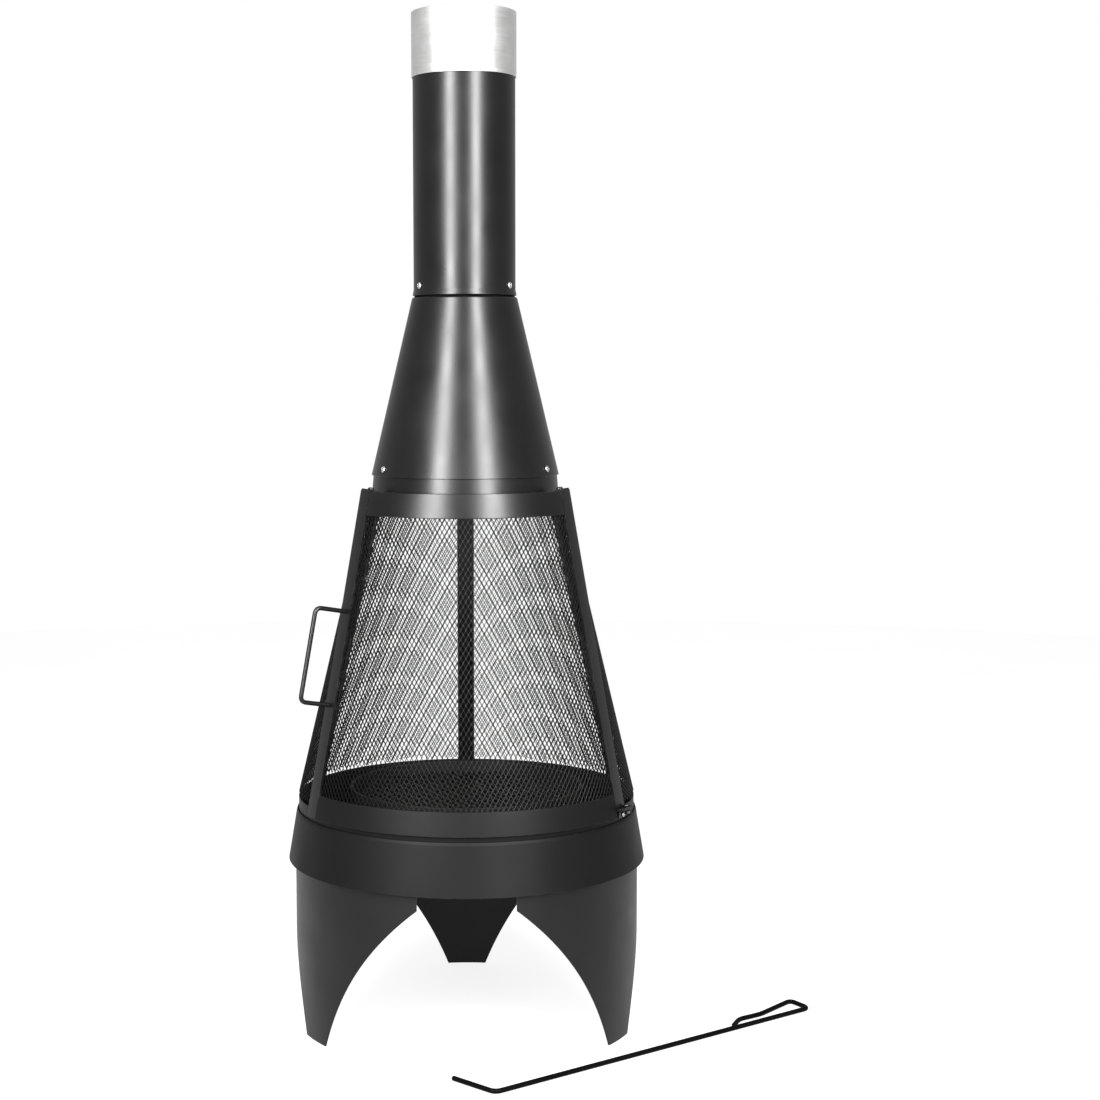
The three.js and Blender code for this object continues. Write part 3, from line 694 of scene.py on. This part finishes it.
def make_flue():
    cap = [(CAP["radius"] - CAP["wall"], CAP["bottom"]), (CAP["radius"], CAP["bottom"]),
           (CAP["radius"], CAP["top"]), (CAP["radius"] - CAP["wall"], CAP["top"])]
    add_piece("flue_cap", turned("flue_cap", filleted(cap, 0.5)), "brushed_stainless")
    radius, low, bead, rise = FLUE["radius"], FLUE["bottom"], FLUE["bead"], FLUE["bead_height"]
    outside = [(radius, FLUE["top"]), (radius, low + rise), (radius + bead * 0.7, low + rise * 0.4),
               (radius + bead, low)]
    inside = [(radius + bead - SHEET, low), (radius - SHEET, low + rise), (radius - SHEET, FLUE["top"])]
    rounding = [0.5, 5, 3, 0.5, 0.5, 5, 0.5]
    add_piece("flue_pipe", turned("flue_pipe", filleted(outside + inside, rounding)), "black_paint")


def make_hood():
    neck, high, lip, bend = (HOOD[k] for k in ("neck", "high", "lip", "bend"))
    outline = [
        (HOOD["low_radius"], HOOD["low"]), (HOOD["high_radius"], high), (neck + lip, high + lip),
        (neck, high + bend), (neck, HOOD["neck_top"]), (neck - SHEET, HOOD["neck_top"]),
        (neck - SHEET, high + bend - SHEET), (HOOD["high_radius"] - SHEET, high + lip - 2 * SHEET),
        (HOOD["low_radius"] - SHEET, HOOD["low"]),
    ]
    rounding = [0.5, 2.5, 1, 1.5, 0.5, 0.5, 3, 3, 0.5]
    add_piece("hood_cone", turned("hood_cone", filleted(outline, rounding)), "black_paint")


def make_collar():
    def in_hood(height):
        return hood_radius(height) - SHEET - 2 * GAP

    def in_posts(height):
        return chamber_radius(height) - CHAMBER["wall"] - POST["thickness"] - 3 * GAP

    radius, low, flare_top = COLLAR["band_radius"], COLLAR["bottom"], COLLAR["flare_top"]
    outside = [(in_posts(low), low), (in_posts(flare_top), flare_top),
               (radius, COLLAR["band_bottom"]), (radius - COLLAR["taper"], HOOD["low"] - 1),
               (in_hood(HOOD["low"] + 2), HOOD["low"] + 2), (in_hood(COLLAR["top"]), COLLAR["top"])]
    inside = [(outer - SHEET, height) for outer, height in reversed(outside)]
    rounding = [0.5, 2, 2, 1, 1, 0.5, 0.5, 1, 1, 2, 2, 0.5]
    add_piece("collar", turned("collar", filleted(outside + inside, rounding)), "black_paint")


# ---------------------------------------------------------------- fire chamber


def make_chamber_mesh():
    unroll, place, slant = cone_sheet(chamber_radius(0), CHAMBER["slope"], 180)
    reach = 180 - CHAMBER["from_bearing"]
    half_cell = FINE_MESH["long"] / 2
    low, high = CHAMBER["bottom"] + half_cell, CHAMBER["top"] - half_cell

    def half(sign):
        def inside(x, y):
            swing, height, _ = unroll(x, y - slant)
            on_side = x * sign > 0 or (sign > 0 and x == 0)
            return on_side and abs(swing) <= reach and low <= height <= high
        return inside

    for side, sign in (("right", -1), ("left", 1)):
        mesh = expanded_metal(f"chamber_mesh_{side}", FINE_MESH, CHAMBER_CELLS, FINE_STRAND, half(sign),
                              lambda x, y, depth: place(x, y - slant, depth))
        add_piece("chamber_mesh", mesh, "mesh_paint", smooth=False, name=f"chamber_mesh_{side}")


def make_posts():
    inset = CHAMBER["wall"] + 0.5
    bend = CHAMBER["top_height"] - (POST["foot_radius"] + inset - CHAMBER["top_radius"]) / CHAMBER["slope"]
    heights = steps_between(POST["bottom"], bend, 4) + steps_between(bend, POST["top"], 24)[1:]

    def radius_at(height):
        return min(POST["foot_radius"], chamber_radius(height) - inset)

    for side in SIDES:
        mesh = bar(f"post_{side}", lambda height: post_bearing(side, height), heights, radius_at,
                   POST["width"], POST["thickness"])
        add_piece(f"post_{side}", mesh, "black_paint", edge=SHEET_EDGE)


# ---------------------------------------------------------------- door and hinge


def pivot_point(pivot):
    return polar(pivot["bearing"], pivot["radius"], pivot["height"])


HINGE_AXIS = (pivot_point(UPPER_PIVOT) - pivot_point(LOWER_PIVOT)).normalized()
UPPER_FRAME = frame_at(pivot_point(UPPER_PIVOT), HINGE_AXIS)
LOWER_FRAME = frame_at(pivot_point(LOWER_PIVOT), HINGE_AXIS)
MIRROR = Matrix.Scale(-1, 4, (1, 0, 0))


def stile_mesh(side, low, high):
    heights = steps_between(low, high, 26)
    return bar("stile", lambda height: side * stile_bearing(height), heights, door_radius,
               STILE["width"], STILE["thickness"])


def make_stiles():
    def tab(ends, place):
        return box("tab", (ends[0], TAB["left"], 0), (ends[1], TAB["right"], TAB["thickness"]), place)

    right = combined(stile_mesh(1, LOWER_PIVOT["height"] - 0.2, STILE["top"]),
                     [tab(UPPER_TAB, UPPER_FRAME), tab(LOWER_TAB, LOWER_FRAME)])
    add_piece("door_stile_right", right, "black_paint", "door", edge=SHEET_EDGE)
    left = combined(stile_mesh(-1, STILE["free_end"], STILE["top"]), [tab(UPPER_TAB, MIRROR @ UPPER_FRAME)])
    add_piece("door_stile_left", left, "black_paint", "door", edge=SHEET_EDGE)


def make_rail(node, limits, look):
    """A strip of the door's cone between the inner edges of the two stiles."""
    low, high = limits

    def at(inset):
        def point(u, v):
            height = low + (high - low) * v
            radius = door_radius(height)
            edge = stile_bearing(height) - math.degrees((STILE["width"] / 2 + GAP) / radius)
            return polar(edge * (2 * u - 1), radius - inset, height)
        return point

    add_piece(node, sheet(node, at(0), at(RAIL_THICKNESS), 60, 4), look, "door", edge=SHEET_EDGE)


def make_door_skin():
    make_rail("door_top_rail", TOP_RAIL, "black_paint")
    make_rail("door_bottom_rail", BOTTOM_RAIL, "base_paint")
    inset = STILE["thickness"] + GAP
    unroll, place, slant = cone_sheet(door_radius(0) - inset, DOOR["slope"], 0)
    half_cell = FINE_MESH["long"] / 2
    low, high = DOOR_MESH["bottom"] + half_cell, DOOR_MESH["top"] - half_cell

    def inside(x, y):
        swing, height, _ = unroll(x, y - slant)
        return abs(swing) <= stile_bearing(height) and low <= height <= high

    mesh = expanded_metal("door_mesh", FINE_MESH, DOOR_CELLS, FINE_STRAND, inside,
                          lambda x, y, depth: place(x, y - slant, depth))
    add_piece("door_mesh", mesh, "mesh_paint", "door", smooth=False)


def make_handle():
    def foot(height):
        return polar(-stile_bearing(height), door_radius(height), height)

    low, high = foot(HANDLE["low_foot"]), foot(HANDLE["high_foot"])
    outward = polar(-stile_bearing((HANDLE["low_foot"] + HANDLE["high_foot"]) / 2), 1, 0)
    outward.z = DOOR["slope"]
    outward.normalize()
    route = [low + outward * GAP, low + outward * HANDLE["reach"], high + outward * HANDLE["reach"],
             high + outward * GAP]
    mesh = rod("door_handle", route, HANDLE["rod"], HANDLE["corner"])
    add_piece("door_handle", mesh, "black_paint", "door")


def make_hinge_pins():
    lift = Matrix.Translation((0, 0, TAB["thickness"]))
    stop_place = frame_at(polar(-UPPER_PIVOT["bearing"], UPPER_PIVOT["radius"], UPPER_PIVOT["height"]),
                          Vector((-HINGE_AXIS.x, HINGE_AXIS.y, HINGE_AXIS.z)))
    for node, place, which, body in (
        ("hinge_pin_upper", UPPER_FRAME, "upper", "root"),
        ("hinge_pin_lower", LOWER_FRAME, "lower", "root"),
        ("stop_screw", stop_place, "stop", "door"),
    ):
        mesh = screw_mesh(node, PIN, PIN_LENGTH[which])
        add_piece(node, mesh, "blackened_bolt", body, at=in_metres(place @ lift))
    for which, place in (("upper", UPPER_FRAME), ("lower", LOWER_FRAME)):
        node = f"hinge_nut_{which}"
        mesh = nut_mesh(node, PIN_NUT["bore"], PIN_NUT[which], PIN_NUT["low"], PIN_NUT["high"])
        add_piece(node, mesh, "blackened_bolt", at=in_metres(place))


# ---------------------------------------------------------------- bowl, skirt and legs


def make_bowl():
    rim, wall, floor = BOWL["rim_radius"], BOWL["wall_radius"], BOWL["floor"]
    outside = [(rim, BOWL["rim_top"]), (rim, BOWL["joggle_top"]), (wall, BOWL["joggle_bottom"]),
               (wall, floor), (0, floor)]
    inside = [(0, floor + SHEET), (wall - SHEET, floor + SHEET), (wall - SHEET, BOWL["joggle_bottom"]),
              (rim - SHEET, BOWL["joggle_top"]), (rim - SHEET, BOWL["rim_top"])]
    rounding = [0.6, 4, 4, BOWL["corner"], 0, 0, BOWL["corner"] - SHEET, 4, 4, 0.6]
    add_piece("fire_bowl", turned("fire_bowl", filleted(outside + inside, rounding, 6)), "base_paint")


def make_skirt():
    s = SKIRT
    outside = [(s["top_radius"], s["top"]), (s["top_radius"] + s["roll"], s["top"] - s["roll_drop"]),
               (s["shoulder_radius"], s["shoulder"]), (s["low_radius"], s["low"])]
    inside = [(radius - SHEET, max(s["low"], height - SHEET / 2)) for radius, height in outside]
    rounding = [0.4, 3, 8, 0.5, 0.5, 8, 3, 0.4]
    add_piece("skirt_ring", turned("skirt_ring", filleted(outside + inside[::-1], rounding)), "base_paint")


def leg_half_width(height):
    rise = height - LEG_EDGE["centre_height"]
    arc = LEG_EDGE["centre_width"] - math.sqrt(LEG_EDGE["radius"] ** 2 - rise ** 2)
    return min(LEG["half_width"], arc)


def make_legs():
    reach = LEG_EDGE["centre_width"] - LEG["half_width"]
    shoulder = LEG_EDGE["centre_height"] + math.sqrt(LEG_EDGE["radius"] ** 2 - reach ** 2)
    heights = steps_between(0, shoulder, 40) + [LEG["top"]]

    def surface(bearing, inset):
        def point(u, v):
            height = heights[round(v * (len(heights) - 1))]
            swing = math.degrees(leg_half_width(height) / LEG["radius"])
            return polar(bearing + swing * (2 * u - 1), LEG["radius"] - inset, height)
        return point

    for side, bearing in SIDES.items():
        outer, inner = surface(bearing, 0), surface(bearing, LEG["thickness"])
        plate = sheet(f"leg_{side}", outer, inner, 36, len(heights) - 1)
        add_piece(f"leg_{side}", plate, "leg_paint", edge=SHEET_EDGE)
        for k, swing in enumerate((-RIVET_SWING, RIVET_SWING), 1):
            at = in_metres(shell_frame(bearing + swing, LEG["radius"], RIVET_HEIGHT))
            mesh = screw_mesh("leg_rivet", RIVET, LEG["thickness"] + 5, recess=False)
            add_piece(f"leg_rivet_{side}_{k}", mesh, "leg_paint", at=at)


# ---------------------------------------------------------------- log grate and poker


def make_grate():
    g = GRATE
    ring = [(g["radius"], g["bottom"]), (g["radius"], g["top"]), (g["radius"] - g["wall"], g["top"]),
            (g["radius"] - g["wall"], g["bottom"])]
    add_piece("grate_ring", turned("grate_ring", filleted(ring, 0.6), 128), "grate_black", "log_grate")
    reach = g["radius"] - g["wall"] - GAP - COARSE_MESH["short"] / 2 - g["mesh_margin"]
    mesh_top = g["plate_bottom"] + g["plate"] * 0.85

    def inside(x, y):
        return math.hypot(x, y * g["long_way"]) < reach

    def place(x, y, depth):
        return Vector((x, y, mesh_top - depth))

    mesh = expanded_metal("grate_mesh", COARSE_MESH, GRATE_CELLS, COARSE_STRAND, inside, place)
    add_piece("grate_mesh", mesh, "grate_black", "log_grate", smooth=False)
    floor = BOWL["floor"] + SHEET + GAP
    for i in range(3):
        leg = bar(f"grate_leg_{i + 1}", lambda height: 120 * i, steps_between(floor, g["bottom"] - GAP, 4),
                  lambda height: g["radius"], g["leg_width"], g["wall"])
        add_piece(f"grate_leg_{i + 1}", leg, "grate_black", "log_grate", edge=0.5)


def make_poker():
    def flat(point):
        return Vector((*point, POKER["rod"]))

    end = flat(POKER["end"])
    along = (end - flat(POKER["elbow"])).normalized()
    left = Vector((-along.y, along.x, 0))
    loop = [end + along * forward + left * side for forward, side in POKER_LOOP]
    route = [flat(POKER["hook_tip"]), flat(POKER["elbow"]), end, *loop]
    add_piece("poker", rod("poker", route, POKER["rod"], POKER["corner"]), "poker_paint", "poker")


# ---------------------------------------------------------------- CAD nodes that stay


def refine_cad_nodes():
    """The small brackets keep their CAD shape, with rounded edges and the paint."""
    for name in ("hinge_bracket_upper", "hinge_bracket_lower", "stop_bracket"):
        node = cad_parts[name]
        node.modifiers.new("weld", "WELD").merge_threshold = 0.00002
        node.data.materials.clear()
        node.data.materials.append(LOOKS["black_paint"])
        node.data.shade_smooth()
        soften(node, SHEET_EDGE)


# ---------------------------------------------------------------- floor, light and camera


FLOOR = {"radius": 4000, "height": -0.5, "dark": (0.14, 0.14, 0.14), "light": (0.17, 0.17, 0.17),
         "glow": 0.86}
WORLD_LIGHT = 0.52


def make_stage():
    floor = bpy.data.objects.new("floor", mesh_from("floor", *disc(FLOOR["radius"], FLOOR["height"])))
    bpy.context.scene.collection.objects.link(floor)
    n = Nodes("floor")
    n.link(n.mix(n.noise(3, 2), FLOOR["dark"], FLOOR["light"]), n.shader.inputs["Base Color"])
    n.shader.inputs["Roughness"].default_value = 0.9
    n.shader.inputs["Specular IOR Level"].default_value = 0.1
    n.shader.inputs["Emission Color"].default_value = (1, 1, 1, 1)
    n.shader.inputs["Emission Strength"].default_value = FLOOR["glow"]
    floor.data.materials.append(n.material)


def disc(radius, height, segments=64):
    rim = [polar(360 * k / segments, radius, height) for k in range(segments)]
    return rim, [list(range(segments))]


def make_world():
    """White to the camera, softer as light, as in a bright studio."""
    world = bpy.data.worlds.new("studio")
    bpy.context.scene.world = world
    world.use_nodes = True
    tree = world.node_tree
    light = tree.nodes["Background"]
    light.inputs["Strength"].default_value = WORLD_LIGHT
    seen = tree.nodes.new("ShaderNodeBackground")
    for background in (light, seen):
        background.inputs["Color"].default_value = (1, 1, 1, 1)
    mixer = tree.nodes.new("ShaderNodeMixShader")
    path = tree.nodes.new("ShaderNodeLightPath")
    tree.links.new(path.outputs["Is Camera Ray"], mixer.inputs["Fac"])
    tree.links.new(light.outputs["Background"], mixer.inputs[1])
    tree.links.new(seen.outputs["Background"], mixer.inputs[2])
    tree.links.new(mixer.outputs["Shader"], tree.nodes["World Output"].inputs["Surface"])


SOFTBOX_DISTANCE = 1.9
SOFTBOX = {"width": 0.5, "low": 0.6, "high": 2.5, "radiance": 57}
SOFTBOX_BEARINGS = {"left": -31, "right": 26}


def make_softbox(name, bearing):
    light = bpy.data.lights.new(name, "AREA")
    light.shape = "RECTANGLE"
    light.size, light.size_y = SOFTBOX["width"], SOFTBOX["high"] - SOFTBOX["low"]
    light.energy = SOFTBOX["radiance"] * math.pi * light.size * light.size_y
    lamp = bpy.data.objects.new(name, light)
    lamp.location = polar(bearing, SOFTBOX_DISTANCE, (SOFTBOX["high"] + SOFTBOX["low"]) / 2)
    lamp.rotation_euler = (math.radians(90), 0, math.radians(bearing))
    lamp.visible_camera = False
    bpy.context.scene.collection.objects.link(lamp)


CAMERA_PLACE = (0, -2.506, 0.822)
CAMERA_DOWN = 5.24
CAMERA_ROLL = 0.2
CAMERA_SHIFT = 0.0774       # puts the chiminea left of the middle, as the framing needs
CAMERA_LENS = 65.9


def make_camera():
    camera = bpy.data.cameras.new("camera")
    camera.lens = CAMERA_LENS
    camera.sensor_width = 36
    camera.shift_x = CAMERA_SHIFT
    camera.clip_start, camera.clip_end = 0.05, 50
    holder = bpy.data.objects.new("camera", camera)
    holder.location = CAMERA_PLACE
    holder.rotation_euler = (math.radians(90 - CAMERA_DOWN), math.radians(CAMERA_ROLL), 0)
    bpy.context.scene.collection.objects.link(holder)
    bpy.context.scene.camera = holder


make_sheet_screws()
make_chamber_bolts()
make_flue()
make_hood()
make_collar()
make_chamber_mesh()
make_posts()
make_stiles()
make_door_skin()
make_handle()
make_hinge_pins()
make_bowl()
make_skirt()
make_legs()
make_grate()
make_poker()
refine_cad_nodes()
make_stage()
make_world()
for side, bearing in SOFTBOX_BEARINGS.items():
    make_softbox(f"softbox_{side}", bearing)
make_camera()
bpy.context.scene.view_settings.view_transform = "Standard"
